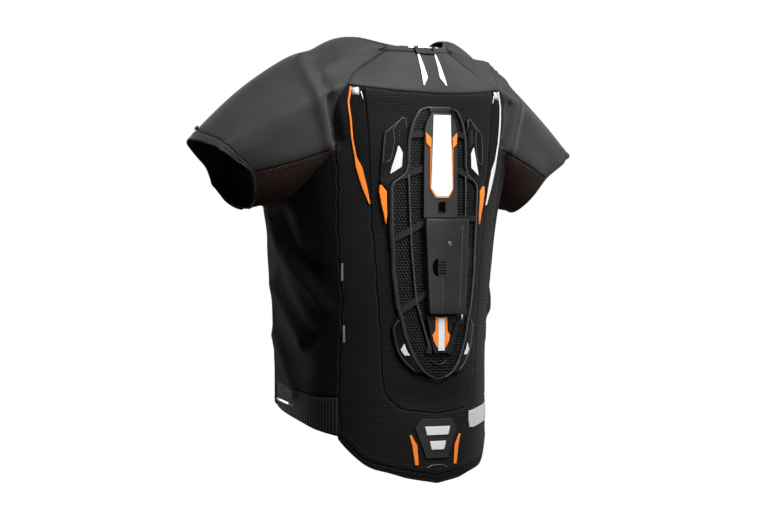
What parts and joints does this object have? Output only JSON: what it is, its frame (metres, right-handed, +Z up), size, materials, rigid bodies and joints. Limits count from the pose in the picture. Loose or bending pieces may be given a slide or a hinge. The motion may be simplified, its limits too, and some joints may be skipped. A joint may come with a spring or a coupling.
{
  "type": "motorcycle airbag vest",
  "caption": "Short-sleeved stretch airbag vest in its worn form, with a ribbed windowed back protector, wing pads and a control module on the spine.",
  "frame": {"origin": "centre of the neck ring at the height of its back rim, where the vest hangs on a neck and shoulders", "axes": "+Z up, +Y towards the back of the vest, +X towards the wearer's left"},
  "size_m": [0.6992, 0.2853, 0.6811],
  "materials": {
    "stretch_cloth": "smooth matt stretch jersey, charcoal",
    "ribbed_cloth": "fine horizontal rib knit, black",
    "mesh_cloth": "open mesh knit, black with a red-brown cast",
    "webbing": "woven tape, black",
    "black_plastic": "moulded black plastic",
    "comb_plastic": "fine honeycomb plate, black",
    "shell_plastic": "satin moulded plastic, dark grey",
    "module_plastic": "satin moulded plastic, grey",
    "silver_film": "reflective silver film",
    "orange_plastic": "orange moulded plastic and print",
    "white_plastic": "white moulded plastic and print",
    "badge_rubber": "soft rubber badge, black"
  },
  "bodies": {
    "root": {"back_center_panel": "ribbed_cloth", "back_surround_panel": "ribbed_cloth", "badge_bar_lower": "white_plastic", "badge_bar_upper": "white_plastic", "badge_flank_left": "orange_plastic", "badge_flank_right": "orange_plastic", "badge_shield": "badge_rubber", "control_module": "module_plastic", "cuff_left": "stretch_cloth", "cuff_right": "stretch_cloth", "cuff_stud": "black_plastic", "front_panel_left": "ribbed_cloth", "front_panel_right": "ribbed_cloth", "front_zip": "black_plastic", "hanger_loop": "webbing", "hanger_tab": "silver_film", "hem_band": "ribbed_cloth", "hem_reflector": "silver_film", "honeycomb_plate": "comb_plastic", "label_flank_left": "orange_plastic", "label_flank_right": "orange_plastic", "lower_insert_left": "white_plastic", "lower_insert_right": "white_plastic", "lower_label": "white_plastic", "lower_spine": "shell_plastic", "lower_wing_pad_left": "shell_plastic", "lower_wing_pad_right": "shell_plastic", "module_latch": "silver_film", "neck_binding": "stretch_cloth", "neck_ribbon_left": "white_plastic", "neck_ribbon_right": "white_plastic", "orange_blade_left": "orange_plastic", "orange_blade_right": "orange_plastic", "protector_frame": "shell_plastic", "protector_spine": "shell_plastic", "seam_dash_lower_left": "silver_film", "seam_dash_lower_right": "silver_film", "seam_dash_upper_left": "silver_film", "seam_dash_upper_right": "silver_film", "shoulder_yoke": "stretch_cloth", "side_knit_left": "mesh_cloth", "side_knit_right": "mesh_cloth", "side_panel_left": "mesh_cloth", "side_panel_right": "mesh_cloth", "side_vent_left": "mesh_cloth", "side_vent_right": "mesh_cloth", "sleeve_gusset_left": "mesh_cloth", "sleeve_gusset_right": "mesh_cloth", "sleeve_left": "stretch_cloth", "sleeve_right": "stretch_cloth", "spine_strip": "white_plastic", "strip_wing_left": "orange_plastic", "strip_wing_right": "orange_plastic", "upper_insert_left": "white_plastic", "upper_insert_right": "white_plastic", "upper_wing_pad_left": "shell_plastic", "upper_wing_pad_right": "shell_plastic", "vent_piping_left": "orange_plastic", "vent_piping_right": "white_plastic", "waist_label": "white_plastic"}
  },
  "joints": []
}
